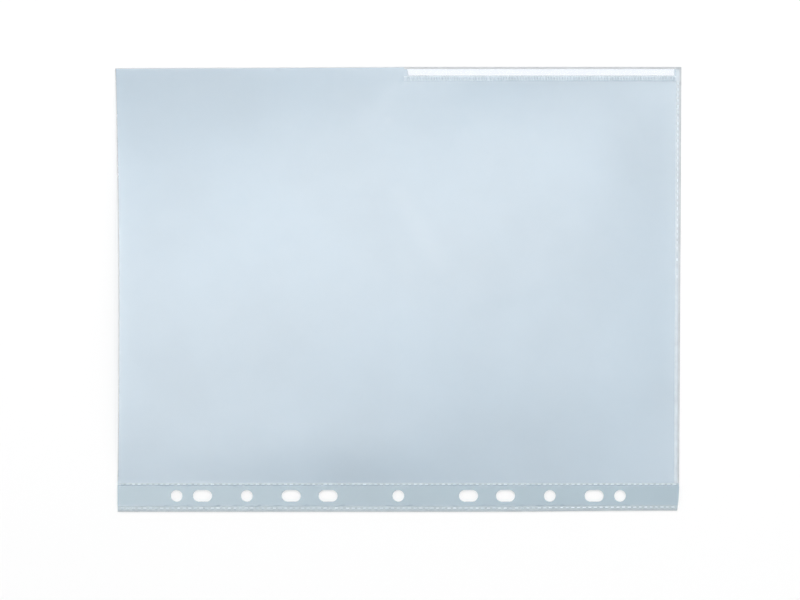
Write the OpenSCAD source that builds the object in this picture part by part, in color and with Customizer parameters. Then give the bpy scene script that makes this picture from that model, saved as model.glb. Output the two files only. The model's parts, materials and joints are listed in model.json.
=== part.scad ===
// Clear document pocket for a ring binder. It lies flat with its open mouth towards -X.
// One film is folded along +Y and welded shut at +X and along the punched margin at -Y.
// A weld beside the fold makes a channel that holds a card index label.

/* [Pocket] */
// Length from the open mouth to the closed end
pocket_l = 304; // [290:1:330]
// Width from the binding edge to the fold
pocket_w = 240; // [225:1:260]
// Thickness of the film
film_t = 0.1; // [0.08:0.01:0.14]
// How far the front sheet stands off the back sheet at the middle of the mouth
mouth_gape = 7; // [5:0.5:12]

/* [Binding margin] */
// Width from the binding edge to the middle of the inner weld
margin_w = 15; // [14:0.5:20]
// Thickness of the filing strip between the two films
strip_t = 0.3; // [0.25:0.05:0.4]
// Distance of the hole centres from the binding edge
hole_edge = 8.6; // [7.5:0.1:9.5]
// Diameter of the round holes, and width of the slots
hole_d = 6.4; // [5:0.1:7]
// Length of a slot from end to end
slot_l = 10.4; // [8:0.1:12]
// Distance of the inner slots from the middle hole
slot_1_x = 38; // [34:0.5:42]
// Distance of the next slots from the middle hole
slot_2_x = 58; // [55:0.5:62]
// Distance of the outer slots from the middle hole
slot_3_x = 106; // [102:0.5:108]
// Distance of the inner round holes from the middle hole
hole_1_x = 82; // [76:0.5:88]
// Distance of the outer round holes from the middle hole
hole_2_x = 120; // [119:0.5:130]

/* [Welds] */
// Distance of the edge welds from the edge of the film, to their middle
weld_edge = 2.3; // [1.6:0.1:2.6]
// Width of a weld
weld_w = 1.2; // [1.1:0.1:1.6]
// Length of one raised dash
dash_l = 1.8; // [1:0.1:2.2]
// Width of one raised dash
dash_w = 0.9; // [0.5:0.1:0.9]
// Height of a raised dash above its weld
dash_h = 0.12; // [0.06:0.01:0.16]
// Distance from one dash to the next
dash_pitch = 3.05; // [2.6:0.05:4]
// Radius of the bead of melt along a weld, which the film flexes round
bead_r = 0.13; // [0.11:0.01:0.18]

/* [Label] */
// Length of the card label
label_l = 143.5; // [100:0.5:144]
// Width of the card label
label_w = 3.9; // [3:0.1:6]
// How far the end of the label towards the mouth is cut aslant
label_slant = 0.8; // [0:0.1:2]
// Thickness of the card label
label_t = 0.25; // [0.15:0.05:0.4]
// Distance of the label from the edge of the fold
label_inset = 0.85; // [0.7:0.05:1.5]
// Distance of the label's end from the closed edge
label_end = 4.4; // [4.2:0.1:5.5]
// Length of the weld beside the label
label_weld_l = 146; // [145:0.5:160]
// Width of the weld beside the label
label_weld_w = 2.4; // [2:0.1:3.5]
// Width of one raised bar in the weld beside the label
bar_w = 0.7; // [0.4:0.05:0.9]
// Distance from one bar to the next
bar_pitch = 1.5; // [1.3:0.05:2.2]

/* [Clearances] */
// Play above and below the label in its channel
label_play = 0.05; // [0.03:0.01:0.12]
// Play between the label and the weld beside it
label_side_play = 0.25; // [0.15:0.05:0.5]
// Distance from a hinge line to the sheet that turns about it
hinge_gap = 0.3; // [0.25:0.05:0.5]
// Distance from the front sheet to the weld beside the label
sheet_gap = 0.4; // [0.3:0.05:0.8]
// Distance from the front sheet to the weld beside the margin
margin_gap = 0.7; // [0.6:0.05:1]
// Distance from the filing strip to the welds on both sides of it
strip_gap = 0.2; // [0.1:0.05:0.5]
// Play above and below the filing strip in its sleeve
strip_play = 0.07; // [0.06:0.01:0.12]
// Plain length left at each end of a row of raised marks
row_end = 1; // [0.5:0.1:4]
// Distance from a raised bar to the edges of its weld
bar_inset = 0.2; // [0.1:0.05:0.4]

/* [Hidden] */
// Which pieces are drawn
$fn = 48;

// Edges of the pocket
mouth_x = -pocket_l / 2;
end_x = pocket_l / 2;
bind_y = -pocket_w / 2;
fold_y = pocket_w / 2;

// Two films melted into one
weld_t = 2 * film_t;

// Binding margin, from the binding edge inwards
outer_weld_y = bind_y + weld_edge;
sleeve_y0 = outer_weld_y + weld_w / 2;
inner_weld_y = bind_y + margin_w;
sleeve_y1 = inner_weld_y - weld_w / 2;
turn_y = inner_weld_y + weld_w / 2;
hole_y = bind_y + hole_edge;
strip_z = film_t + strip_play;
cover_z = strip_z + strip_t + strip_play;
cover_top = cover_z + film_t;

// Closed end
end_weld_x = end_x - weld_edge;
lift_x = end_weld_x - weld_w / 2;

// Label channel along the fold
channel_h = label_t + 2 * label_play;
window_z = film_t + channel_h;
window_top = window_z + film_t;
crease_r = window_top / 2;
crease_y = fold_y - crease_r;
label_y = fold_y - label_inset - label_w;
label_x = end_x - label_end - label_l;
label_weld_y = label_y - label_side_play - label_weld_w;
label_weld_x = lift_x - label_weld_l;

// Sheets that meet the welds
sheet_y0 = turn_y + hinge_gap;
front_x1 = lift_x - hinge_gap;
front_y0 = turn_y + margin_gap;
front_y1 = label_weld_y - sheet_gap;

// Depth that a raised mark is set into its weld
mark_sink = 0.03;

// Height of a bead's lowest line above the face below it
bead_lift = 0.01;

// Length that a cut runs past the faces that it opens
cut_past = 1;

// Largest size of one facet of the front sheet's curve
sheet_cell = 12;

// Box given by its two corners
module slab(x0, x1, y0, y1, z0, z1) {
  translate([x0, y0, z0])
    cube([x1 - x0, y1 - y0, z1 - z0]);
}

// Round hole through the margin
module ring_hole(x) {
  translate([x, hole_y, -cut_past])
    cylinder(d = hole_d, h = cover_top + 2 * cut_past);
}

// Slot through the margin, for rings at a spacing that varies
module ring_slot(x) {
  run = slot_l - hole_d;
  translate([x, hole_y, -cut_past])
    linear_extrude(cover_top + 2 * cut_past) {
      square([run, hole_d], center = true);
      translate([-run / 2, 0]) circle(d = hole_d);
      translate([run / 2, 0]) circle(d = hole_d);
    }
}

// The row of holes that all three layers of the margin share
module ring_holes() {
  ring_hole(0);
  for (side = [-1, 1]) {
    ring_hole(side * hole_1_x);
    ring_hole(side * hole_2_x);
    ring_slot(side * slot_1_x);
    ring_slot(side * slot_2_x);
    ring_slot(side * slot_3_x);
  }
}

// One punched layer of the margin
module punched(inset, z0, z1) {
  difference() {
    slab(mouth_x, end_x, sleeve_y0 + inset, sleeve_y1 - inset, z0, z1);
    ring_holes();
  }
}

// Raised mark with a lens section, along X
module mark(l, w) {
  r = (w * w / 4 + dash_h * dash_h) / (2 * dash_h);
  rotate([90, 0, 90])
    linear_extrude(l, center = true)
      intersection() {
        translate([0, dash_h - r]) circle(r = r);
        translate([-w, -mark_sink]) square([2 * w, dash_h + 2 * mark_sink]);
      }
}

// Row of dashes along X on a weld's top, centred in a given length
module dash_row(l) {
  n = floor((l - dash_l) / dash_pitch);
  for (i = [0 : n])
    translate([(i - n / 2) * dash_pitch, 0, weld_t])
      mark(dash_l, dash_w);
}

// Row of bars across a weld that runs along X
module bar_row(l, z) {
  n = floor((l - bar_w) / bar_pitch);
  for (i = [0 : n])
    translate([(i - n / 2) * bar_pitch, 0, z])
      rotate([0, 0, 90])
        mark(label_weld_w - 2 * bar_inset, bar_w);
}

// Height of the front sheet's underside: u runs from mouth to closed end, v from margin to fold
function sheet_base(v) = weld_t + (window_z - weld_t) * v;
function sheet_rise(u, v) = (1 - pow(u, 2.5)) * (1 - pow(abs(2 * v - 1), 2.5));
function sheet_z(u, v) = sheet_base(v) + (mouth_gape - film_t) * sheet_rise(u, v);

// Back half of the folded film
module back_sheet() {
  color([0.66, 0.76, 0.84])
    slab(mouth_x, lift_x, sheet_y0, crease_y, 0, film_t);
}

// Front half of the folded film, which arches up towards the open mouth
module front_sheet() {
  len_x = front_x1 - mouth_x;
  len_y = front_y1 - front_y0;
  nx = ceil(len_x / sheet_cell);
  ny = ceil(len_y / sheet_cell);
  row = ny + 1;
  half = (nx + 1) * row;
  points = [
    for (k = [0, 1])
      for (i = [0 : nx])
        for (j = [0 : ny])
          [
            mouth_x + len_x * i / nx,
            front_y0 + len_y * j / ny,
            sheet_z(i / nx, j / ny) + k * film_t
          ]
  ];
  under = [
    for (i = [0 : nx - 1])
      for (j = [0 : ny - 1])
        let (a = i * row + j)
          each [[a, a + row, a + row + 1], [a, a + row + 1, a + 1]]
  ];
  over = [for (f = under) [half + f[0], half + f[2], half + f[1]]];
  rim_x = [
    for (i = [0 : nx - 1])
      let (a = i * row, b = a + row, c = a + ny, d = b + ny)
        each [
          [a, half + a, half + b],
          [a, half + b, b],
          [c, half + d, half + c],
          [c, d, half + d]
        ]
  ];
  rim_y = [
    for (j = [0 : ny - 1])
      let (a = j, b = a + 1, c = nx * row + j, d = c + 1)
        each [
          [a, half + b, half + a],
          [a, b, half + b],
          [c, half + c, half + d],
          [c, half + d, d]
        ]
  ];
  color([0.74, 0.83, 0.90])
    polyhedron(points, concat(under, over, rim_x, rim_y), convexity = 4);
}

// Pressed crease that joins the two halves of the film
module outer_fold() {
  color([0.58, 0.68, 0.76])
    translate([mouth_x, crease_y, crease_r])
      rotate([90, 0, 90])
        linear_extrude(lift_x - mouth_x)
          intersection() {
            circle(r = crease_r);
            translate([0, -crease_r]) square([crease_r, 2 * crease_r]);
          }
}

// Front film along the fold, which covers the label
module label_window() {
  color([0.74, 0.83, 0.90]) {
    slab(mouth_x, label_weld_x, label_weld_y, crease_y, window_z, window_top);
    slab(label_weld_x, lift_x, label_weld_y + label_weld_w, crease_y, window_z, window_top);
  }
}

// Weld that shuts the label's channel off from the pocket
module label_weld() {
  color([0.86, 0.91, 0.95]) {
    slab(label_weld_x, lift_x, label_weld_y, label_weld_y + label_weld_w, film_t, window_top);
    translate([(label_weld_x + lift_x) / 2, label_weld_y + label_weld_w / 2, 0])
      bar_row(label_weld_l - 2 * row_end, window_top);
  }
}

// Weld across the closed end, with its trimmed edge and the bead that the front sheet lifts about
module end_weld() {
  run = label_weld_y - sheet_y0;
  color([0.86, 0.91, 0.95]) {
    slab(lift_x, end_x, sheet_y0, fold_y, 0, weld_t);
    translate([end_weld_x, sheet_y0 + run / 2, 0])
      rotate([0, 0, 90])
        dash_row(run - 2 * row_end);
    translate([lift_x, front_y0, film_t + bead_lift + bead_r])
      rotate([-90, 0, 0])
        cylinder(r = bead_r, h = front_y1 - front_y0);
  }
}

// Back layer of the margin's sleeve
module margin_back_film() {
  color([0.62, 0.72, 0.80])
    punched(0, 0, film_t);
}

// Front layer of the margin's sleeve
module margin_front_film() {
  color([0.70, 0.79, 0.86])
    punched(0, cover_z, cover_top);
}

// Stiffer strip that keeps the holes from tearing out
module filing_strip() {
  color([0.52, 0.62, 0.70])
    punched(strip_gap, strip_z, strip_z + strip_t);
}

// Weld between the margin and the pocket, with the bead that the pocket turns about
module inner_weld() {
  color([0.86, 0.91, 0.95]) {
    slab(mouth_x, end_x, sleeve_y1, turn_y, 0, weld_t);
    translate([0, inner_weld_y, 0])
      dash_row(pocket_l - 2 * row_end);
    translate([mouth_x, turn_y, bead_lift + bead_r])
      rotate([0, 90, 0])
        cylinder(r = bead_r, h = pocket_l);
  }
}

// Weld along the binding edge, with its trimmed edge
module outer_weld() {
  color([0.86, 0.91, 0.95]) {
    slab(mouth_x, end_x, bind_y, sleeve_y0, 0, weld_t);
    translate([0, outer_weld_y, 0])
      dash_row(pocket_l - 2 * row_end);
  }
}

// Card strip that slides out of its channel towards the mouth
module index_label() {
  color([0.97, 0.98, 1.0])
    translate([label_x, label_y, film_t + label_play])
      linear_extrude(label_t)
        polygon([[label_slant, 0], [label_l, 0], [label_l, label_w], [0, label_w]]);
}

back_sheet();
front_sheet();
outer_fold();
label_window();
label_weld();
end_weld();
margin_back_film();
margin_front_film();
filing_strip();
inner_weld();
outer_weld();
index_label();
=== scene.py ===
"""Clear document pocket: its films, welds, punched margin and card label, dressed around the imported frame."""
import json
import math

import bpy
import numpy as np
from mathutils import Matrix, Vector


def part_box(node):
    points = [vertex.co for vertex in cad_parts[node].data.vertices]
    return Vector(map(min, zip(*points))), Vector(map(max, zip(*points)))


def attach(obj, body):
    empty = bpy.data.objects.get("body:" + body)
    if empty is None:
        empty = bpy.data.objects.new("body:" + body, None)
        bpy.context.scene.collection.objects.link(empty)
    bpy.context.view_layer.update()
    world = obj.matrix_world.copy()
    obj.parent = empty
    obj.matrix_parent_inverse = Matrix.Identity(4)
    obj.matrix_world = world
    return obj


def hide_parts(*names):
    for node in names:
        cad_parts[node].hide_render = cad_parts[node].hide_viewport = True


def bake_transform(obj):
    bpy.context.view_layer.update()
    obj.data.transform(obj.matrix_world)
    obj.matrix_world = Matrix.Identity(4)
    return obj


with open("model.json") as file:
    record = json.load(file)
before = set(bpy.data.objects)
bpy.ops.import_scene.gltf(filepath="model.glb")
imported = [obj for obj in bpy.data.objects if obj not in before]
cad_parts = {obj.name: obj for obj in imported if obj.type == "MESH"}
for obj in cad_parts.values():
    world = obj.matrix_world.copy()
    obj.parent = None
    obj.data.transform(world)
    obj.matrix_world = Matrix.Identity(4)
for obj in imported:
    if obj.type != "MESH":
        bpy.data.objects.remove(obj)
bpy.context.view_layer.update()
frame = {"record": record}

MM = 0.001


# Places in mm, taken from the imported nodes
def box(node):
    low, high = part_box(node)
    return [v / MM for v in low], [v / MM for v in high]


(MOUTH, _, _), (LIFT, CREASE, FILM) = box("back_sheet")
_, (END, FOLD, _) = box("end_weld")
(_, _, WIN_Z), (_, _, WIN_TOP) = box("label_window")
(LW_X, LW_Y0, _), (_, LW_Y1, BAR_TOP) = box("label_weld")
(_, SLEEVE0, _), (_, SLEEVE1, _) = box("margin_back_film")
(_, STRIP_Y0, STRIP_Z), (_, STRIP_Y1, STRIP_TOP) = box("filing_strip")
(_, _, COVER_Z), _ = box("margin_front_film")
(_, BIND, _), _ = box("outer_weld")
(CARD_X0, CARD_Y0, CARD_Z), (CARD_X1, CARD_Y1, CARD_TOP) = box("index_label")
_, (_, _, FRONT_TOP) = box("front_sheet")
JOINTS = {j["name"]: j for j in frame["record"]["behaviour"]["joints"]}
MOUNTS = {m["name"]: m for m in frame["record"]["mounts"]}
TURN = JOINTS["margin_hinge"]["pos_m"][1] / MM
HOLE_Y = MOUNTS["middle_ring_hole"]["pos_m"][1] / MM
HOLE_R = MOUNTS["middle_ring_hole"]["dims"]["r_mm"]
WELD = 2 * FILM
BEND = TURN + 1.2  # where the films have left the margin and follow the pocket

# Sizes that only the scene needs, in mm
LIP_FLARE, LIP_REACH = 0.3, 25.0  # how much higher the mouth's lip stands, and how far in that reaches
HEADROOM = 2.75  # between the arch of the film and the top of the CAD arch
ARCH = FRONT_TOP - FILM - (FILM + WIN_Z) / 2 - HEADROOM
BACK_BOW, FRONT_BOW, BOW_REACH = 1.1, 1.9, 45.0  # how far the mouth's edges run in, and their reach
DRAWN_IN, DRAWN_FROM = 0.7, 40.0  # how far the fold runs in at the mouth, and the y where that starts
RIPPLE = 0.05  # half of how far the back film lifts off the table in places
WINDOW_RISE = 0.03  # how far the window stands up in the middle
BEND_STEP, BACK_STEP, FRONT_STEP = 0.15, 2.2, 2.0  # grid steps: where the films bend, back film, front film
DASH_L, DASH_W, DASH_H, DASH_PITCH = 1.9, 0.85, 0.13, 3.05
DASH_LEAN = 0.4  # how far the ridge of a dash along the margin lies towards its steep side
DASH_IN, BIND_IN = 1.8, 1.85  # from the trimmed edges to the dashes: closed end, binding edge
MARK_EDGE = 0.02  # the height from which a pressed mark has its own material
BEAD_W, BEAD_H = 0.22, 0.07  # the thicker rim of a weld that was trimmed
BAR_W, BAR_PITCH = 0.7, 1.5
BAR_FOOT, BAR_HEAD = 0.2, 0.55  # plain strips of the label's weld below and above its bars
BAR_DIP, DIP_RUN = 0.05, 0.6  # how far the weld is pressed down between its bars, and how soon from its ends
PALE_FOOT = 50.0  # up to where along the weld its lower strip is as pale as the bars
CUT_EDGE, TRIM_EDGE, FOLD_LINE = 0.45, 1.0, 1.13  # greyer rims: cut film, trimmed welds, fold
RING_OUT = 2.4  # from a hole to the end of the rings of cells round it
SLEEVE_SLOPE = 0.3  # over which the margin's front film climbs onto the strip
STRIP_PLAY = 0.45  # between the strip and where the CAD strip ends
CARD_SLANT, SLANT_RUN = 0.8, 12.0
CARD_IN = 0.6  # how far the card is pushed in
WORN, WORN_IN = 0.035, 0.10  # how thin the card's edges are rubbed, and how far in
CORNER_IN, CORNER_X, CORNER_Y = 0.95, 126.0, TURN + 3.4  # the film's end runs in by this, past these places
CORNER_UP, RISE_X, RISE_RUN = 0.62, 45.0, 100.0  # the binding edge rises by this, from here, over this length
BELOW_HOLES, RISE_DEEP = HOLE_Y - HOLE_R - 0.1, 2.5  # the strip of film that is narrower for it


# Meshes
class Net:
    """Points on a flat plan, and the four-sided cells between them."""

    def __init__(self):
        self.points, self.index, self.quads = [], {}, []

    def point(self, x, y):
        key = (round(x, 3), round(y, 3))
        if key not in self.index:
            self.index[key] = len(self.points)
            self.points.append((x, y))
        return self.index[key]

    def grid(self, xs, ys, keep=None):
        for x0, x1 in zip(xs, xs[1:]):
            for y0, y1 in zip(ys, ys[1:]):
                if keep is None or keep((x0 + x1) / 2, (y0 + y1) / 2):
                    corners = (x0, y0), (x1, y0), (x1, y1), (x0, y1)
                    self.quads.append([self.point(*c) for c in corners])
        return self

    def xy(self):
        return np.array(self.points).T


def solid(name, net, under, over, materials, slot_of=None, crease=35, haze=None, inner=None):
    """A closed sheet between two surfaces over the same plan. inner says which of them, if any, lies against
    the next film, inside the pocket or the sleeve: that one is nearly clear."""
    n = len(net.points)
    quads = np.array(net.quads)
    picked = np.zeros(len(quads), int) if slot_of is None else slot_of(quads)
    faces = [list(q[::-1]) for q in quads] + [list(q + n) for q in quads]
    clear = np.full(len(quads), len(materials))
    slots = [*(clear if inner == "under" else picked), *(clear if inner == "over" else picked)]
    owner = {(int(q[k]), int(q[(k + 1) % 4])): s for q, s in zip(quads, picked) for k in range(4)}
    for (a, b), s in owner.items():
        if (b, a) not in owner:
            faces.append([a, b, n + b, n + a])
            slots.append(s)
    mesh = bpy.data.meshes.new(name)
    mesh.from_pydata((np.vstack([under, over]) * MM).tolist(), [], [[int(i) for i in f] for f in faces])
    mesh.polygons.foreach_set("use_smooth", [True] * len(faces))
    mesh.polygons.foreach_set("material_index", [int(s) for s in slots])
    loops = np.empty(len(mesh.loops), np.int32)
    mesh.loops.foreach_get("vertex_index", loops)
    plan = np.array(net.points) * MM
    mesh.uv_layers.new(name="plan").data.foreach_set("uv", plan[loops % n].astype(np.float32).ravel())
    if haze is not None:
        layer = mesh.attributes.new("haze", "FLOAT", "POINT")
        layer.data.foreach_set("value", np.tile(haze, 2).astype(np.float32))
    for m in [*materials, FILM_INNER] if inner else materials:
        mesh.materials.append(m)
    mesh.update()
    mesh.set_sharp_from_angle(angle=math.radians(crease))
    obj = bpy.data.objects.new(name, mesh)
    bpy.context.collection.objects.link(obj)
    return obj


def lines(*stops):
    """Grid lines from (start, step) pairs and a last end."""
    out = []
    for (a, step), nxt in zip(stops, stops[1:]):
        b = nxt[0] if isinstance(nxt, tuple) else nxt
        k = max(1, round((b - a) / step))
        out += [a + (b - a) * i / k for i in range(k)]
    return out + [stops[-1]]


def smooth(t):
    t = np.clip(t, 0, 1)
    return t * t * (3 - 2 * t)


def ease(p, k):
    """p, but leaving 0 with no slope, as a sheet does that is held flat at its edge."""
    return (1 + k) * p * p / (p + k)


def cut_short(x, y):
    """How far in, and how far up, the film is trimmed towards the far end of its binding edge."""
    low = np.clip((CORNER_Y - y) / (CORNER_Y - BIND), 0, 1)
    inward = CORNER_IN * smooth((x - CORNER_X) / (END - CORNER_X)) * low**2
    upward = CORNER_UP * smooth((x - RISE_X) / RISE_RUN) * smooth((BELOW_HOLES - y) / RISE_DEEP)
    return inward, upward


def stack(x, y, z):
    """Points of a piece, with the far corner of the binding edge trimmed short."""
    inward, upward = cut_short(x, y)
    return np.column_stack([x - inward, y + upward, np.broadcast_to(z, np.shape(x))])


# Materials
SCUFFS, SCUFF_STRETCH, SCUFF_DULL = 45.0, (1.0, 4.0, 0.35), 0.02
UNEVEN, UNEVEN_H = 40.0, 0.00003
FIBRES, FIBRE_STRETCH, FIBRE_H = 900.0, (1.0, 3.0, 0.2), 0.00001
CARD_DARK, CARD_LIGHT = (0.85, 0.88, 0.93), (0.89, 0.915, 0.96)


def noise(nt, coords, scale, detail=2.0, stretch=None, roughness=0.5):
    """Noise from 0 to 1. stretch gives its scales along and across, and a turn."""
    node = nt.nodes.new("ShaderNodeTexNoise")
    node.inputs["Scale"].default_value = scale
    node.inputs["Detail"].default_value = detail
    node.inputs["Roughness"].default_value = roughness
    if stretch:
        m = nt.nodes.new("ShaderNodeMapping")
        m.inputs["Scale"].default_value = (stretch[0], stretch[1], 1)
        m.inputs["Rotation"].default_value = (0, 0, stretch[2])
        nt.links.new(coords, m.inputs["Vector"])
        coords = m.outputs["Vector"]
    nt.links.new(coords, node.inputs["Vector"])
    return node.outputs["Fac"]


def ramp(nt, value, low, high, at=(0.35, 0.65)):
    """A colour from low to high as the value passes from one end of at to the other."""
    node = nt.nodes.new("ShaderNodeValToRGB")
    for e, pos, c in zip(node.color_ramp.elements, at, (low, high)):
        e.position = pos
        e.color = (*c, 1)
    nt.links.new(value, node.inputs["Fac"])
    return node.outputs["Color"]


def span(nt, value, low, high, at=(0.3, 0.7)):
    """A number from low to high as the value passes from one end of at to the other."""
    node = nt.nodes.new("ShaderNodeMapRange")
    for name, v in zip(("From Min", "From Max", "To Min", "To Max"), (*at, low, high)):
        node.inputs[name].default_value = v
    nt.links.new(value, node.inputs["Value"])
    return node.outputs["Result"]


def bump(nt, height, distance):
    node = nt.nodes.new("ShaderNodeBump")
    node.inputs["Distance"].default_value = distance
    nt.links.new(height, node.inputs["Height"])
    return node.outputs["Normal"]


def milky_and_highlit(nt, colour, white):
    """colour, paler where the mesh says that the film is stretched or creased: partly milky film, partly a
    painted highlight.
    """
    where = nt.nodes.new("ShaderNodeAttribute")
    where.attribute_name = "haze"
    mix = nt.nodes.new("ShaderNodeMix")
    mix.data_type = "RGBA"
    nt.links.new(where.outputs["Fac"], mix.inputs["Factor"])
    nt.links.new(colour, mix.inputs[6])
    mix.inputs[7].default_value = (*white, 1)
    return mix.outputs[2]


def plain_material(name):
    """A new material, its node tree, its shader's inputs and the plan's coordinates in metres."""
    mat = bpy.data.materials.new(name)
    mat.use_nodes = True
    nt = mat.node_tree
    coords = nt.nodes.new("ShaderNodeUVMap")
    coords.uv_map = "plan"
    return mat, nt, nt.nodes["Principled BSDF"].inputs, coords.outputs["UV"]


def plastic(name, tint, alpha, ior, rough, cloud=11.0, spread=0.04, white=None):
    """Clear film: a faint cloudy tint, drawn-out scuffs that dull it a little, and a slightly uneven surface.
    Alpha thins the gloss too, so a high IOR brings it back to what plastic reflects."""
    mat, nt, into, plan = plain_material(name)
    into["Alpha"].default_value = alpha
    into["IOR"].default_value = ior
    low, high = ([c * (1 + k * spread) for c in tint] for k in (-1, 1))
    colour = ramp(nt, noise(nt, plan, cloud, 3.0), low, high)
    nt.links.new(milky_and_highlit(nt, colour, white) if white else colour, into["Base Color"])
    scuff = noise(nt, plan, SCUFFS, 3.0, SCUFF_STRETCH)
    nt.links.new(span(nt, scuff, rough - SCUFF_DULL, rough + SCUFF_DULL), into["Roughness"])
    nt.links.new(bump(nt, noise(nt, plan, UNEVEN, 1.0), UNEVEN_H), into["Normal"])
    mat.surface_render_method = "BLENDED"
    return mat


def card_stock(name):
    """Uncoated white card with fine fibres."""
    mat, nt, into, plan = plain_material(name)
    fibre = noise(nt, plan, FIBRES, 5.0, FIBRE_STRETCH, 0.6)
    nt.links.new(ramp(nt, fibre, CARD_DARK, CARD_LIGHT), into["Base Color"])
    nt.links.new(span(nt, fibre, 0.72, 0.9), into["Roughness"])
    nt.links.new(bump(nt, fibre, FIBRE_H), into["Normal"])
    return mat


TINT, WHITE = (0.45, 0.58, 0.685), (0.74, 0.83, 0.90)
FILM_BACK = plastic("film_back", TINT, 0.50, 2.22, 0.20)
# its paler colour along the soft fold and in the dents is partly a painted highlight
FILM_FRONT = plastic("film_front", TINT, 0.50, 2.22, 0.20, white=(0.90, 0.95, 0.98))
FILM_MARGIN = plastic("film_margin", TINT, 0.50, 2.22, 0.20)
FILM_INNER = plastic("film_inner", TINT, 0.02, 1.5, 0.20)
FILM_WINDOW = plastic("film_window", TINT, 0.04, 2.22, 0.20)
FILM_STRIP = plastic("film_strip", (0.16, 0.35, 0.38), 0.32, 1.5, 0.30)
FILM_FOLD = plastic("film_fold", (0.53, 0.555, 0.575), 0.50, 1.8, 0.28, 60.0)
FILM_EDGE = plastic("film_edge", (0.43, 0.46, 0.49), 0.46, 1.8, 0.28, 60.0)
WELD_BAND = plastic("weld_band", (0.41, 0.52, 0.58), 0.66, 1.97, 0.24, 160.0, 0.08)
WELD_RIM = plastic("weld_rim", (0.345, 0.41, 0.45), 0.70, 1.65, 0.32, 200.0, 0.08)
# painted shade: the darker colour on the steep side of each dash, which faces away from the lamp
WELD_PAINTED_SHADE = plastic("weld_shade", (0.24, 0.34, 0.41), 0.74, 1.8, 0.28, 200.0, 0.08)
WELD_DASH = plastic("weld_dash", WHITE, 0.82, 1.6, 0.32, 300.0, 0.06)
WELD_SOFT = plastic("weld_soft", (0.57, 0.68, 0.76), 0.76, 1.8, 0.30, 300.0, 0.06)
END_BAND = plastic("end_band", (0.50, 0.605, 0.68), 0.62, 1.97, 0.24, 160.0, 0.08)
END_ROW = plastic("end_row", (0.64, 0.725, 0.80), 0.62, 1.97, 0.24, 160.0, 0.08)
END_LOW = plastic("end_low", (0.57, 0.67, 0.75), 0.62, 1.97, 0.24, 160.0, 0.08)
END_DASH = plastic("end_dash", (0.71, 0.80, 0.87), 0.80, 1.6, 0.32, 300.0, 0.06)
END_SOFT = plastic("end_soft", (0.68, 0.765, 0.84), 0.70, 1.8, 0.30, 300.0, 0.06)
END_FOLD = plastic("end_fold", (0.44, 0.475, 0.505), 0.70, 1.65, 0.32, 200.0, 0.08)
END_RIM = plastic("end_rim", (0.50, 0.535, 0.57), 0.70, 1.65, 0.32, 200.0, 0.08)
LABEL_BAND = plastic("label_band", (0.60, 0.72, 0.82), 0.52, 2.22, 0.26, 160.0, 0.08)
LABEL_BAR = plastic("label_bar", (0.69, 0.81, 0.89), 0.56, 1.8, 0.30, 300.0, 0.06)
LABEL_LINE = plastic("label_line", (0.44, 0.57, 0.67), 0.62, 1.97, 0.24, 160.0, 0.08)
# painted light: the strip above the bars is paler, against the shadow that the card's edge casts there
LABEL_HEAD_PAINTED_LIGHT = plastic("label_head", (0.78, 0.88, 0.94), 0.64, 1.8, 0.30, 160.0, 0.08)
CARD = card_stock("card")


# The pocket's own shape
def curve(points, per=14):
    """A smooth line through the points (Catmull-Rom)."""
    p = np.array([points[0], *points, points[-1]], float)
    out = []
    for a, b, c, d in zip(p, p[1:], p[2:], p[3:]):
        for t in np.arange(per) / per:
            bend = (2 * a - 5 * b + 4 * c - d) * t**2 + (3 * b - a - 3 * c + d) * t**3
            out.append(0.5 * (2 * b + (c - a) * t + bend))
    return np.array(out + [p[-1]])


def off_line(x, y, line):
    """Distance of each point from a line of short steps, and where along it the nearest place is, 0 to 1."""
    best = np.full(np.shape(x), 1e9)
    where = np.zeros(np.shape(x))
    count = len(line) - 1
    for i, (a, b) in enumerate(zip(line, line[1:])):
        d = b - a
        t = np.clip(((x - a[0]) * d[0] + (y - a[1]) * d[1]) / (d @ d), 0, 1)
        dist = np.hypot(x - a[0] - t * d[0], y - a[1] - t * d[1])
        near = dist < best
        best = np.where(near, dist, best)
        where = np.where(near, (i + t) / count, where)
    return best, where


def inside(x, y, ring):
    odd = np.zeros(np.shape(x), bool)
    for a, b in zip(ring, np.roll(ring, -1, axis=0)):
        cross = (a[1] > y) != (b[1] > y)
        at = a[0] + (y - a[1]) * (b[0] - a[0]) / (b[1] - a[1] if b[1] != a[1] else 1e-9)
        odd ^= cross & (x < at)
    return odd


# Where the front film leaves the cushion of air under it and settles towards the closed end
RIM = curve(
    [(58, 116), (66, 104), (77, 86), (99, 70), (115, 50), (116, 25), (102, 10), (75, 2), (30, -5), (-20, -17)]
)
CUSHION = np.vstack([RIM, [(-152, -40), (-152, 140), (58, 140)]])
PLEAT = curve([(LW_X + 0.5, LW_Y0), (LW_X + 1.5, 88), (LW_X + 2.0, 54)])
SOFT_FOLD = curve([(-3, 56), (8, 40), (26, 9)])
DENTS = ((36, 86, 2.6, 0.10), (73, 84, 2.2, 0.12), (-5, 92, 2.4, 0.10), (-60, 20, 4.0, 0.08))
PLEAT_H, PLEAT_W = 0.10, 3.5
SOFT_FOLD_H, SOFT_FOLD_W = 0.12, 5.0
# paler film along the soft fold and in the dents: partly milky film, partly a painted highlight
FOLD_HAZE_AND_HIGHLIGHT, FOLD_HIGHLIGHT_W, DENT_HAZE_AND_GLINT = 0.05, 5.5, 0.03
FAN_FROM, FAN_SPREAD = 2.0, 1.2  # width of the step in the held line at the weld, and how fast it widens

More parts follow.
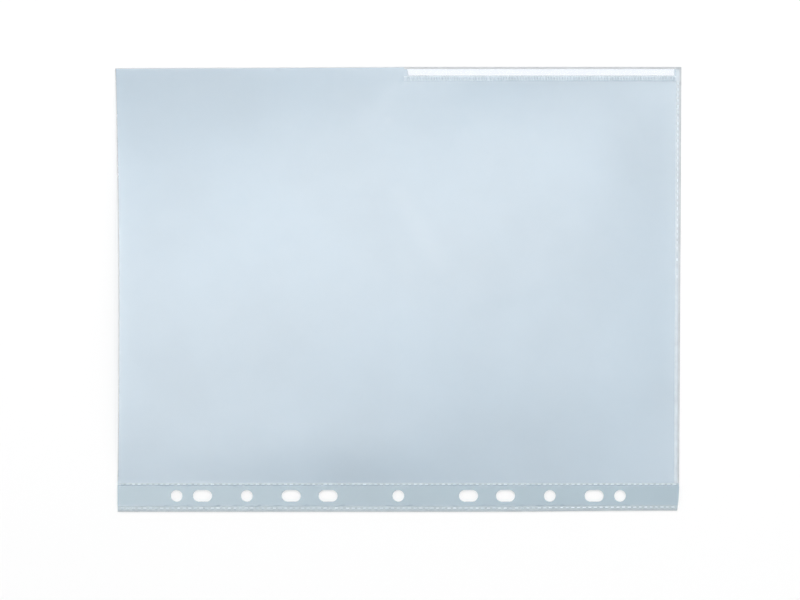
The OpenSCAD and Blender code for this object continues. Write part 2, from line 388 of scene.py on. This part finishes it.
# How full the section of the front film stands between its ridge and its held edges, as powers of the way
# from the ridge: by the fold, more on the cushion, more towards the closed end, more in the far corner, by
# the margin, and more past the mouth
FOLD_FULL, PUFF_FULL, END_FULL, FAR_FULL, MARGIN_FULL, INNER_FULL = 1.94, 0.60, 1.12, 1.5, 1.845, 1.09
ARCH_POWER, WAVE_POWER, LIFT_POWER = 4.05, 6, 2.5  # arch and waves along the pocket, lift across it
RIDGE, RIDGE_SHIFT = 0.38, 0.195  # where the ridge lies across the pocket, and how far it moves over

# Where along the pocket these change: x, and the length that it takes, in mm
RIDGE_X, RIDGE_RUN = -60.0, 140.0
PUFF_X, PUFF_RUN = -44.0, 46.0
END_X, END_RUN = 10.0, 50.0
FAR_X, FAR_RUN = 70.0, 60.0
INNER_X, INNER_RUN = -133.0, 150.0
SINK_X, SINK_RUN = 5.0, 55.0
STEP_RUN = 60.0  # before the closed end, where the film comes down from the height of the window

SINK, SINK_REACH = 0.065, 20.0  # share of its height that the film loses off the cushion, and how soon
WAVE_ALONG, WAVE_ACROSS, WAVE_ASLANT = 0.07, 0.06, 0.04  # heights of three trains of waves
FULL_WAVE_Z = 1.5  # the height from which the waves are whole
SOFT_SIDE, SOFT_END, SOFT_WAVE, SOFT_LIFT = 0.02, 0.05, 0.1, 0.08  # how softly each leaves the held edges


def hold_y(x, y):
    """The line near the fold where the front film is held down. It steps from the fold to the weld beside the
    label, and the step fans out below the weld's end."""
    fan = FAN_FROM + FAN_SPREAD * np.clip(LW_Y0 - y, 0, None)
    return CREASE + (LW_Y0 - CREASE) * smooth((x - LW_X) / fan + 1)


def across(x, y):
    return np.clip((y - TURN) / (hold_y(x, y) - TURN), 0, 1)


def profile(x, y):
    """Rise across the pocket, from 0 at the margin and the fold to 1 at the ridge, which lies nearer the
    margin at the mouth. The film stands fuller where the cushion of air lies against the fold."""
    v = across(x, y)
    ridge = RIDGE + RIDGE_SHIFT * smooth((x - RIDGE_X) / RIDGE_RUN)
    to_end = smooth((x - END_X) / END_RUN)
    puff = np.exp(-(((x - PUFF_X) / PUFF_RUN) ** 2)) * (1 - to_end)
    upper = FOLD_FULL + PUFF_FULL * puff + END_FULL * to_end
    upper += FAR_FULL * smooth((x - FAR_X) / FAR_RUN)
    lower = MARGIN_FULL + INNER_FULL * smooth((x - INNER_X) / INNER_RUN)
    t = np.where(v > ridge, (v - ridge) / (1 - ridge), (ridge - v) / ridge)
    return ease(1 - np.clip(t, 0, 1) ** np.where(v > ridge, upper, lower), SOFT_SIDE)


def waves(x, y):
    """Shallow waves of the film: one train along the pocket, one across it and one aslant."""
    along = np.sin(x / 17.0 + 0.7 * np.sin(y / 31.0))
    over = np.sin(y / 15.0 - x / 60.0 + 1.3)
    aslant = np.sin((x + 1.4 * y) / 19.0 + 2.1)
    return WAVE_ALONG * along + WAVE_ACROSS * over + WAVE_ASLANT * aslant


def dent(x, y, cx, cy, r):
    return np.exp(-((x - cx) ** 2 + (y - cy) ** 2) / r**2)


def creases(x, y):
    """The pleat that runs down from the end of the label's weld, the soft fold, and the small dents."""
    dist, t = off_line(x, y, PLEAT)
    pleat = -PLEAT_H * np.exp(-dist / PLEAT_W) * (1 - t) ** 0.7 * smooth((LW_Y0 - y) / 2)
    dist, t = off_line(x, y, SOFT_FOLD)
    fold = SOFT_FOLD_H * np.exp(-((dist / SOFT_FOLD_W) ** 2)) * np.sin(np.pi * t) ** 0.6
    return pleat + fold + sum(h * dent(x, y, cx, cy, r) for cx, cy, r, h in DENTS)


def front_z(x, y):
    """Underside of the front film."""
    u = np.clip((x - MOUTH) / (LIFT - MOUTH), 0, 1)
    v = across(x, y)
    near_fold = smooth((y - TURN) / (hold_y(x, y) - TURN)) * smooth((LIFT - x) / STEP_RUN)
    base = FILM + (WIN_Z - FILM) * near_fold
    lip = LIP_FLARE * np.exp(-(x - MOUTH) / LIP_REACH)
    z = (ARCH * ease(1 - u**ARCH_POWER, SOFT_END) + lip) * profile(x, y)
    dist, _ = off_line(x, y, RIM)
    settled = np.where(inside(x, y, CUSHION), 0, 1 - np.exp(-dist / SINK_REACH))
    z *= 1 - SINK * (settled * smooth((x - SINK_X) / SINK_RUN))
    held = np.minimum(4 * v * (1 - v), 1) * np.minimum(z / FULL_WAVE_Z, 1)
    free = ease(1 - u**WAVE_POWER, SOFT_WAVE) * held
    return base + z + waves(x, y) * free + np.minimum(z, 1) * creases(x, y)


def front_haze_and_highlight(x, y):
    """How much paler the front film is, along its soft fold and in the small dents: partly milky film, partly a
    painted highlight and painted glints.
    """
    dist, t = off_line(x, y, SOFT_FOLD)
    haze = FOLD_HAZE_AND_HIGHLIGHT * np.exp(-((dist / FOLD_HIGHLIGHT_W) ** 2)) * np.sin(np.pi * t) ** 0.5
    for cx, cy, r, _ in DENTS:
        haze = haze + DENT_HAZE_AND_GLINT * dent(x, y, cx, cy, r)
    return np.clip(haze, 0, 1)


def bowed(x, y, depth):
    """The mouth's edge runs in a little between the fold and the margin."""
    v = np.clip((y - TURN) / (CREASE - TURN), 0, 1)
    return x + depth * 4 * v * (1 - v) * np.clip(1 - (x - MOUTH) / BOW_REACH, 0, 1) ** 2


def drawn_in(x, y):
    """How far the fold runs in beside the mouth, where the pocket stands open."""
    along = np.clip((LW_X - x) / (LW_X - MOUTH), 0, 1) ** 0.8
    return DRAWN_IN * along * smooth((y - DRAWN_FROM) / (CREASE - DRAWN_FROM))


def off_table(x, y):
    """How far the back film lifts off the table, away from its held edges."""
    rise = RIPPLE * (1 + np.sin(x / 23 + y / 37)) * smooth((LIFT - x) / 8)
    return rise * (smooth((y - TURN - 4) / 20) * smooth((CREASE - 3 - y) / 12))


def back_film():
    """Back film, with the crease of the fold at its far edge."""
    turn = [CREASE + (FOLD - CREASE) * k for k in (0.35, 0.7, 1.0, 1.3, 1.65, 2.0)]
    xs = lines((MOUTH, CUT_EDGE), (MOUTH + CUT_EDGE, BACK_STEP), (LW_X, BACK_STEP), LIFT)
    ys = lines((TURN, BEND_STEP), (BEND, 1.0), (BEND + 2, BACK_STEP), (FOLD - FOLD_LINE, 0.35), CREASE)
    net = Net().grid(xs, ys + turn)
    x, s = net.xy()
    angle = np.clip((s - CREASE) / (FOLD - CREASE), 0, 2) * math.pi / 2
    big, small = WIN_TOP / 2, WIN_TOP / 2 - FILM
    y = np.minimum(s, CREASE)
    rise = off_table(x, y)
    bx, by = bowed(x, y, BACK_BOW), y - drawn_in(x, y)
    under = stack(bx, by + big * np.sin(angle), big - big * np.cos(angle) + rise)
    over = stack(bx, by + small * np.sin(angle), big - small * np.cos(angle) + rise)

    def pick(q):
        mid_x, mid_s = x[q].mean(axis=1), s[q].mean(axis=1)
        crease = (mid_s > CREASE) | ((mid_s > FOLD - FOLD_LINE) & (mid_x > LW_X))
        return np.where(crease, 1, np.where(mid_x < MOUTH + CUT_EDGE, 2, 0))

    obj = solid("back_film", net, under, over, [FILM_BACK, FILM_FOLD, FILM_EDGE], pick, inner="over")
    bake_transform(obj)
    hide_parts("back_sheet", "outer_fold")
    return obj


def front_film():
    """Front film, from the margin to the fold, or to the weld beside the label."""
    xs = lines((MOUTH, CUT_EDGE), (MOUTH + CUT_EDGE, FRONT_STEP), (LW_X, FRONT_STEP), LIFT)
    ys = lines((BEND, 0.5), (BEND + 3, FRONT_STEP), (LW_Y0, 1.2), CREASE)
    net = Net().grid(xs, ys, lambda x, y: x < LW_X or y < LW_Y0)
    x, y = net.xy()
    z = front_z(x, y)
    bx, by = bowed(x, y, FRONT_BOW), y - drawn_in(x, y)

    def pick(q):
        return np.where(x[q].mean(axis=1) < MOUTH + CUT_EDGE, 1, 0)

    low, high = stack(bx, by, z), stack(bx, by, z + FILM)
    kinds = [FILM_FRONT, FILM_EDGE]
    obj = solid("front_film", net, low, high, kinds, pick, haze=front_haze_and_highlight(x, y), inner="under")
    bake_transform(obj)
    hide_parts("front_sheet")
    return obj


def front_turn():
    """The first millimetre of the front film, beside the margin, which bends with it."""
    net = Net().grid(lines((MOUTH, FRONT_STEP), LIFT), lines((TURN, BEND_STEP), BEND))
    x, y = net.xy()
    z = front_z(x, y)
    obj = solid("front_turn", net, stack(x, y, z), stack(x, y, z + FILM), [FILM_BACK], inner="under")
    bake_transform(obj)
    return obj


def window_film():
    """Clear window over the label, greyer where it turns into the fold."""
    xs = lines((LW_X, 0.5), (CARD_X0 + CARD_IN, 3.0), (CARD_X1 + CARD_IN, 0.5), LIFT)
    net = Net().grid(xs, lines((LW_Y1, 0.6), (FOLD - FOLD_LINE, 0.4), CREASE))
    x, y = net.xy()
    over_card = np.sin(np.pi * (y - LW_Y1) / (CREASE - LW_Y1))
    z = WIN_Z + WINDOW_RISE * over_card * (1 + 0.5 * np.sin(x / 9))

    def pick(q):
        mid_x, mid_y = x[q].mean(axis=1), y[q].mean(axis=1)
        bare = (mid_x < CARD_X0 + CARD_IN) | (mid_x > CARD_X1 + CARD_IN)
        return np.where(mid_y > FOLD - FOLD_LINE, 2, np.where(bare, 1, 0))

    kinds = [FILM_WINDOW, FILM_BACK, FILM_FOLD]
    low, high = stack(x, y, z), stack(x, y, z + FILM)
    obj = solid("label_window_film", net, low, high, kinds, pick, inner="under")
    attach(obj, "pocket")
    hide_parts("label_window")
    return obj


# Welds
FAINT, FAINT_X = 0.6, 110.0  # share of the margin's dashes that are fainter, and the x past which none are
END_TALL = 1.1  # height of the end weld's dashes, in units of the margin's
FLATTEST, FLAT_Y, FLAT_RUN = 0.35, -30.0, 110.0  # share of it near the margin, and where they grow taller
CRISP_Y, CRISP_RUN = -25.0, 60.0  # where along the end weld its dashes start to stand out
WHITENED, WHITE_Y, WHITE_RUN = 0.62, -5.0, 100.0  # share of those that are white, and where they start


def row(length, size, pitch):
    """Centres of a row of marks, about its middle."""
    n = math.floor((length - size) / pitch)
    return [(i - n / 2) * pitch for i in range(n + 1)]


def marked(centres, half, low, high):
    """Grid lines along a weld, close together at each mark's ends."""
    out = [low]
    for c in centres:
        out += [c + half * k for k in (-1.06, -0.92, -0.75, -0.5, 0.0, 0.5, 0.75, 0.92, 1.06)]
    return out + [high]


def scatter(k, seed):
    """A fixed number from 0 to 1 for the k-th mark."""
    return np.modf(np.abs(np.sin(12.9898 * k + 78.233 * seed)) * 43758.5453)[0]


def relief(s, t, centres, mid, height, seed, lean):
    """Height of pressed dashes in a row: rounded at the sides and ends, none quite like the next, and steeper
    on one side by lean."""
    c = np.array(centres)
    k = np.clip(np.round((s - c[0]) / (c[1] - c[0])), 0, len(c) - 1).astype(int)
    a = np.abs(s - c[k]) / (DASH_L / 2 * (0.68 + 0.32 * scatter(k, seed)))
    b = (t - mid) / (DASH_W / 2)
    rise = np.clip(np.where(b < -lean, (b + 1) / (1 - lean), (1 - b) / (1 + lean)), 0, 1)
    deep = height * (0.55 + 0.45 * scatter(k, seed + 0.4))
    return deep * np.sqrt(np.clip(1 - a**6, 0, 1)) * rise * (2 - rise)


def bead(t, at):
    """Height of the rim along a trimmed edge."""
    return BEAD_H * np.exp(-(((t - at) / BEAD_W) ** 2))


def pressed(name, net, marks, edge, floor, top, materials, between, mark_kind):
    """A weld with its pressed marks standing up from it, hollow from below. mark_kind gives the place in
    materials of what the marks are made of, and between gives it for the rest."""
    x, y = net.xy()

    def pick(q):
        mid_x, mid_y = x[q].mean(axis=1), y[q].mean(axis=1)
        high = marks[q].mean(axis=1) > MARK_EDGE
        return np.where(high, mark_kind(mid_x, mid_y), between(mid_x, mid_y))

    low, high = stack(x, y, floor + 0.4 * marks), stack(x, y, top + marks + edge)
    return solid(name, net, low, high, materials, pick, crease=50, inner="under")


def sides(mid, half):
    return [mid + half * k for k in (-1.0, -0.75, -0.4, 0.0, 0.4, 0.75, 1.0)]


def tidy(values):
    """Values in order, each once."""
    return sorted({round(v, 4) for v in values})


def long_weld(name, low, high, mid, more, node, seed):
    """A weld along the margin, with its row of dashes. Their steep sides are darker, a painted shade, and away
    from the closed end some of them are fainter."""
    centres = row(END - MOUTH - 2, DASH_L, DASH_PITCH)
    ys = tidy([low, high, *sides(mid, DASH_W / 2), *more])
    net = Net().grid(marked(centres, DASH_L / 2, MOUTH, END), ys)
    x, y = net.xy()
    marks = relief(x, y, centres, mid, DASH_H, seed, DASH_LEAN)
    trimmed = low == BIND
    edge = bead(y, BIND) if trimmed else 0.0
    kinds = [WELD_BAND, WELD_DASH, WELD_RIM, WELD_PAINTED_SHADE, WELD_SOFT]
    band, dash, rim, painted_shade, soft = range(len(kinds))

    def at_rim(a, b):
        return np.where((b < BIND + TRIM_EDGE) & trimmed, rim, band)

    def dash_kind(a, b):
        k = np.round((a - centres[0]) / DASH_PITCH)
        faint = scatter(k, seed + 6.0) < FAINT * smooth((FAINT_X - a) / FAINT_X)
        # the steep side of each dash gets the painted shade, the gentle side the dash's own colour
        gentle = b > mid - DASH_LEAN * DASH_W / 2
        return np.where(gentle, np.where(faint, soft, dash), painted_shade)

    obj = pressed(name, net, marks, edge, 0.0, WELD, kinds, at_rim, dash_kind)
    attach(obj, "margin")
    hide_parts(node)
    return obj


def end_weld():
    """The weld down the closed end, out to its trimmed edge. Towards the margin its dashes are flatter,
    fewer of them are white, and in the end they fade into one pale strip."""
    mid = END - DASH_IN
    foot = TURN + 0.3
    centres = [c + (LW_Y0 + foot) / 2 for c in row(LW_Y0 - foot - 1, DASH_L, DASH_PITCH)][1:]
    xs = tidy([LIFT, END, *sides(mid, DASH_W / 2), END - 0.3, END - TRIM_EDGE, END - 1.2])
    ys = marked(centres, DASH_L / 2, TURN, LW_Y0)
    ys = tidy(ys + lines((TURN, BEND_STEP), BEND) + lines((LW_Y0, 0.9), (FOLD - FOLD_LINE, 0.6), FOLD))
    net = Net().grid(xs, ys)
    x, y = net.xy()
    full = FLATTEST + (1 - FLATTEST) * smooth((y - FLAT_Y) / FLAT_RUN)
    marks = relief(y, x, centres, mid, DASH_H * END_TALL, 2.0, 0.0) * full
    edge = bead(x, END)
    kinds = [END_BAND, END_DASH, END_RIM, END_SOFT, END_ROW, END_FOLD, END_LOW]
    band, white, rim, soft, upper_row, fold, lower_row = range(len(kinds))

    def nearest(b):
        return np.round((b - centres[0]) / DASH_PITCH)

    def crisp(b):
        return scatter(nearest(b), 6.0) < smooth((b - CRISP_Y) / CRISP_RUN)

    def beside_dashes(a, b):
        in_row = (np.abs(a - mid) < DASH_W / 2) & (b < LW_Y0)
        row_kind = np.where(crisp(b), upper_row, lower_row)
        kind = np.where(a > END - TRIM_EDGE, rim, np.where(in_row, row_kind, band))
        return np.where(b > FOLD - FOLD_LINE, fold, kind)

    def dash_kind(a, b):
        whitened = scatter(nearest(b), 5.0) < WHITENED * smooth((b - WHITE_Y) / WHITE_RUN)
        return np.where(crisp(b), np.where(whitened, white, soft), lower_row)

    obj = pressed("end_weld_band", net, marks, edge, 0.0, WELD, kinds, beside_dashes, dash_kind)
    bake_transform(obj)
    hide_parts("end_weld")
    return obj


def label_weld():
    """The weld beside the label, pressed with close bars across it."""
    low, high = LW_Y0 + BAR_FOOT, LW_Y1 - BAR_HEAD
    mid, half = (low + high) / 2, (high - low) / 2
    centres = [c + (LW_X + LIFT) / 2 for c in row(LIFT - LW_X - 2, BAR_W, BAR_PITCH)]
    xs = marked(centres, BAR_W / 2, LW_X, LIFT)
    bar_lines = [mid + half * k for k in (-1, -0.94, -0.75, -0.35, 0, 0.35, 0.75, 0.94, 1)]
    net = Net().grid(xs, tidy([LW_Y0, LW_Y1, *bar_lines]))
    x, y = net.xy()
    c = np.array(centres)
    k = np.clip(np.round((x - c[0]) / BAR_PITCH), 0, len(c) - 1).astype(int)
    a, b = np.abs(x - c[k]) / (BAR_W / 2), np.abs(y - mid) / half
    long_side = np.sqrt(np.clip(1 - b**8, 0, 1))
    tall = (BAR_TOP - WIN_TOP + BAR_DIP) * (0.7 + 0.3 * scatter(k, 3.0))
    marks = tall * np.clip(1 - a**2, 0, 1) * long_side
    dip = -BAR_DIP * long_side * smooth((x - LW_X) / DIP_RUN) * smooth((LIFT - x) / DIP_RUN)
    kinds = [LABEL_BAND, LABEL_BAR, LABEL_LINE, LABEL_HEAD_PAINTED_LIGHT]
    band, bar, line, painted_light_head = range(len(kinds))

    # the strip above the bars takes the painted light, the one below is pale like the bars up to PALE_FOOT
    def beside_bars(a, b):
        foot = np.where(a < PALE_FOOT, bar, line)
        return np.where(b < mid - half, foot, np.where(b > mid + half, painted_light_head, band))

    def on_bars(a, b):
        return bar

    obj = pressed("label_weld_band", net, marks, dip, FILM, WIN_TOP, kinds, beside_bars, on_bars)
    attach(obj, "pocket")
    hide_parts("label_weld")
    return obj


# Punched margin
HOLES = [(0.0, HOLE_R)]
for mount in ("inner_holes", "outer_holes", "inner_slots", "middle_slots", "outer_slots"):
    dims = MOUNTS[mount]["dims"]
    for side in (-1, 1):
        HOLES.append((side * dims["spacing_x_mm"] / 2, dims.get("slot_length_mm", 2 * HOLE_R) / 2))
HOLES.sort()


def hole_rim(dx, dy, half):
    """Where a ray from a hole's middle meets its edge: a circle, or a slot with round ends."""
    run = half - HOLE_R
    length = np.hypot(dx, dy)
    dx, dy = dx / length, dy / length
    if abs(dy) > 1e-9 and abs(dx / dy) * HOLE_R <= run:
        t = HOLE_R / abs(dy)
    else:
        b = abs(dx) * run
        t = b + math.sqrt(max(b * b - run * run + HOLE_R * HOLE_R, 0))
    return dx * t, dy * t


def punched_net(ys):
    """A strip along the margin, with rings of cells round each hole."""
    net = Net()
    x = MOUTH
    for cx, half in HOLES:
        x0, x1 = cx - half - RING_OUT, cx + half + RING_OUT
        if x0 > x + 1e-6:
            net.grid(lines((x, 2.5), x0), ys)
        xs = lines((x0, 0.9), x1)
        ring = [(a, ys[0]) for a in xs] + [(x1, b) for b in ys[1:]]
        ring += [(a, ys[-1]) for a in xs[-2::-1]] + [(x0, b) for b in ys[-2:0:-1]]
        inner = [hole_rim(a - cx, b - HOLE_Y, half) for a, b in ring]
        loops = []
        for s in (0.0, 0.06, 0.2, 0.45, 0.75, 0.88, 0.92, 0.96, 1.0):
            pairs = zip(ring, inner)
            spots = [(ix + (a - cx - ix) * s, iy + (b - HOLE_Y - iy) * s) for (a, b), (ix, iy) in pairs]
            loops.append([net.point(cx + px, HOLE_Y + py) for px, py in spots])
        for low, high in zip(loops, loops[1:]):
            for i in range(len(ring)):
                j = (i + 1) % len(ring)
                net.quads.append([low[i], high[i], high[j], low[j]])
        x = x1
    return net.grid(lines((x, 2.5), END), ys)


def margin_layer(name, run, z, thick, node, inner=None):
    """One layer of the punched margin: a film with a nearly clear inner side, or the strip."""
    y0, y1 = run
    net = punched_net(lines((y0, 0.1), (y0 + SLEEVE_SLOPE, 0.95), (y1 - SLEEVE_SLOPE, 0.1), y1))
    x, y = net.xy()
    low = z(x, y)
    kind = FILM_MARGIN if inner else FILM_STRIP
    obj = solid(name, net, stack(x, y, low), stack(x, y, low + thick), [kind], inner=inner)
    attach(obj, "margin")
    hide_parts(node)
    return obj


def flat_on_table(x, y):
    return 0 * x


def strip_z(x, y):
    return STRIP_Z + 0 * x


def cover_z(x, y):
    """The front layer leaves the welds low and runs up over the strip's edges."""
    up = smooth((y - SLEEVE0) / SLEEVE_SLOPE) * smooth((SLEEVE1 - y) / SLEEVE_SLOPE)
    return FILM + (COVER_Z - FILM) * up


# Card label
def card_label():
    """The card, cut aslant at its inner end and a little worn along its edges."""
    xs = lines((CARD_X0, 0.3), (CARD_X0 + 1.2, 2.5), (CARD_X1 - 1.2, 0.3), CARD_X1)
    ys = lines((CARD_Y0, 0.12), (CARD_Y0 + 0.36, 0.6), (CARD_Y1 - 0.36, 0.12), CARD_Y1)
    net = Net().grid(xs, ys)
    x, y = net.xy()
    cut = CARD_SLANT * (CARD_Y1 - y) / (CARD_Y1 - CARD_Y0) * np.clip(1 - (x - CARD_X0) / SLANT_RUN, 0, 1)
    rub = np.minimum(np.minimum(x - CARD_X0, CARD_X1 - x), np.minimum(y - CARD_Y0, CARD_Y1 - y))
    worn = WORN * np.exp(-rub / WORN_IN)
    x = x + cut + CARD_IN
    low, high = stack(x, y, CARD_Z + worn), stack(x, y, CARD_TOP - worn)
    obj = solid("card_label", net, low, high, [CARD], crease=60)
    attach(obj, "label")
    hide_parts("index_label")
    return obj


# The object
back = back_film()
front = front_film()
turn = front_turn()
window = window_film()
inner = long_weld("inner_weld_band", SLEEVE1, TURN, SLEEVE1 + DASH_W / 2, [], "inner_weld", 0.0)
trim = [BIND + 0.15, BIND + 0.3, BIND + TRIM_EDGE, BIND + 1.2]
outer = long_weld("outer_weld_band", BIND, SLEEVE0, BIND + BIND_IN, trim, "outer_weld", 1.0)
end = end_weld()
beside = label_weld()
thick = STRIP_TOP - STRIP_Z
sleeve = (SLEEVE0, SLEEVE1)
stiffener = (STRIP_Y0 + STRIP_PLAY, STRIP_Y1 - STRIP_PLAY)
low_film = margin_layer("margin_back", sleeve, flat_on_table, FILM, "margin_back_film", "over")
margin_layer("margin_strip", stiffener, strip_z, thick, "filing_strip")
high_film = margin_layer("margin_front", sleeve, cover_z, FILM, "margin_front_film", "under")
card_label()


# Floor, light and camera: lengths in metres, and patches of the sky as parts of a direction
FLOOR_SIZE, FLOOR_STEP, FLOOR_DROP = 6.0, 0.75, 0.00006
FLOOR_GREY = (0.93, 0.93, 0.93, 1)
LIGHT_MIDDLE, LIGHT_HALF, LIGHT_TURN = (-0.0277, -0.0339), (0.3099, 0.206), 0.684  # patch of sky overhead
STAND_MIDDLE, STAND_HALF, STAND_DIM = (0.0133, -0.1209), (0.1119, 0.0497), 0.671  # what hides part of it
WALL_TALL, WALL_GLOW = 0.45, 0.7
LIGHT_GLOW, ROOM_GLOW = 3.82, 0.45
KEY_PLACE, KEY_AIM, KEY_SIZE, KEY_POWER = (0.3, 2.4, 1.9), (0, 0, 0), (2.6, 1.2), 45.3
LENS_MM, SENSOR_MM = 100.1, 36.0
CAMERA_AWAY, CAMERA_TILT, CAMERA_AIM = 1.2, math.radians(2.39), (0.0009, -0.0053, 0)


def floor():
    """The pale table, just below the pocket."""
    across_it = lines((-FLOOR_SIZE / 2, FLOOR_STEP), FLOOR_SIZE / 2)
    net = Net().grid(across_it, across_it)
    mesh = bpy.data.meshes.new("floor")
    mesh.from_pydata([(x, y, -FLOOR_DROP) for x, y in net.points], [], net.quads)
    mat = bpy.data.materials.new("floor")
    mat.use_nodes = True
    p = mat.node_tree.nodes["Principled BSDF"]
    p.inputs["Base Color"].default_value = FLOOR_GREY
    p.inputs["Roughness"].default_value = 0.9
    p.inputs["Specular IOR Level"].default_value = 0.0
    mesh.materials.append(mat)
    obj = bpy.data.objects.new("floor", mesh)
    bpy.context.collection.objects.link(obj)


def seen_from(nt, coords, middle, half, turned, tall=1.0):
    """A direction's place across a patch of the sky, as X and Y in units of the patch's half lengths, and its
    height, Z, in units of tall."""
    m = nt.nodes.new("ShaderNodeMapping")
    m.vector_type = "TEXTURE"
    m.inputs["Location"].default_value = (*middle, 0)
    m.inputs["Rotation"].default_value = (0, 0, turned)
    m.inputs["Scale"].default_value = (*half, tall)
    nt.links.new(coords.outputs["Generated"], m.inputs["Vector"])
    parts = nt.nodes.new("ShaderNodeSeparateXYZ")
    nt.links.new(m.outputs["Vector"], parts.inputs[0])
    return parts


def sky():
    """A pale studio with brighter walls, and one broad soft light overhead, turned a little to the pocket and
    dimmer where the camera's stand hides part of it."""
    world = bpy.data.worlds.new("studio")
    bpy.context.scene.world = world
    world.use_nodes = True
    nt = world.node_tree
    lit = nt.nodes["Background"]
    coords = nt.nodes.new("ShaderNodeTexCoord")
    light = seen_from(nt, coords, LIGHT_MIDDLE, LIGHT_HALF, LIGHT_TURN)
    stand = seen_from(nt, coords, STAND_MIDDLE, STAND_HALF, 0.0)
    walls = seen_from(nt, coords, (0, 0), (1, 1), 0.0, WALL_TALL)

    def calc(kind, a, b):
        node = nt.nodes.new("ShaderNodeMath")
        node.operation = kind
        for i, v in enumerate((a, b)):
            if isinstance(v, bpy.types.NodeSocket):
                nt.links.new(v, node.inputs[i])
            else:
                node.inputs[i].default_value = v
        return node.outputs[0]

    def squared(node, axis):
        return calc("MULTIPLY", node.outputs[axis], node.outputs[axis])

    def fourth(node, axis):
        square = squared(node, axis)
        return calc("MULTIPLY", square, square)

    def fall(away):
        return calc("POWER", math.e, calc("MULTIPLY", away, -1.0))

    glow = fall(calc("ADD", fourth(light, "X"), fourth(light, "Y")))
    dim = fall(calc("ADD", squared(stand, "X"), squared(stand, "Y")))
    glow = calc("MULTIPLY", glow, calc("SUBTRACT", 1.0, calc("MULTIPLY", dim, STAND_DIM)))
    above = calc("GREATER_THAN", light.outputs["Z"], 0.0)
    strength = calc("ADD", calc("MULTIPLY", calc("MULTIPLY", glow, above), LIGHT_GLOW), ROOM_GLOW)
    strength = calc("ADD", strength, calc("MULTIPLY", fall(squared(walls, "Z")), WALL_GLOW))
    path = nt.nodes.new("ShaderNodeLightPath")
    seen = nt.nodes.new("ShaderNodeMix")
    seen.data_type = "FLOAT"
    nt.links.new(path.outputs["Is Camera Ray"], seen.inputs["Factor"])
    nt.links.new(strength, seen.inputs["A"])
    seen.inputs["B"].default_value = 1.0
    nt.links.new(seen.outputs["Result"], lit.inputs["Strength"])
    lit.inputs["Color"].default_value = (1, 1, 1, 1)


def lamp(name, place, aim, size, power):
    data = bpy.data.lights.new(name, "AREA")
    data.shape = "RECTANGLE"
    data.size, data.size_y = size
    data.energy = power
    obj = bpy.data.objects.new(name, data)
    bpy.context.collection.objects.link(obj)
    obj.location = place
    obj.rotation_euler = (Vector(aim) - Vector(place)).to_track_quat("-Z", "Y").to_euler()


def camera():
    """Nearly straight above, a little towards the fold."""
    data = bpy.data.cameras.new("camera")
    data.sensor_width = SENSOR_MM
    data.lens = LENS_MM
    obj = bpy.data.objects.new("camera", data)
    bpy.context.collection.objects.link(obj)
    away = Vector((0, math.sin(CAMERA_TILT), math.cos(CAMERA_TILT)))
    side_on = Vector((1, 0, 0))
    turned = Matrix((side_on, away.cross(side_on), away)).transposed().to_4x4()
    obj.matrix_world = Matrix.Translation(Vector(CAMERA_AIM) + away * CAMERA_AWAY) @ turned
    bpy.context.scene.camera = obj


floor()
sky()
lamp("key", KEY_PLACE, KEY_AIM, KEY_SIZE, KEY_POWER)
camera()
bpy.context.scene.view_settings.view_transform = "Standard"
bpy.context.scene.cycles.transparent_max_bounces = 32  # light may cross many films, and the margin has three
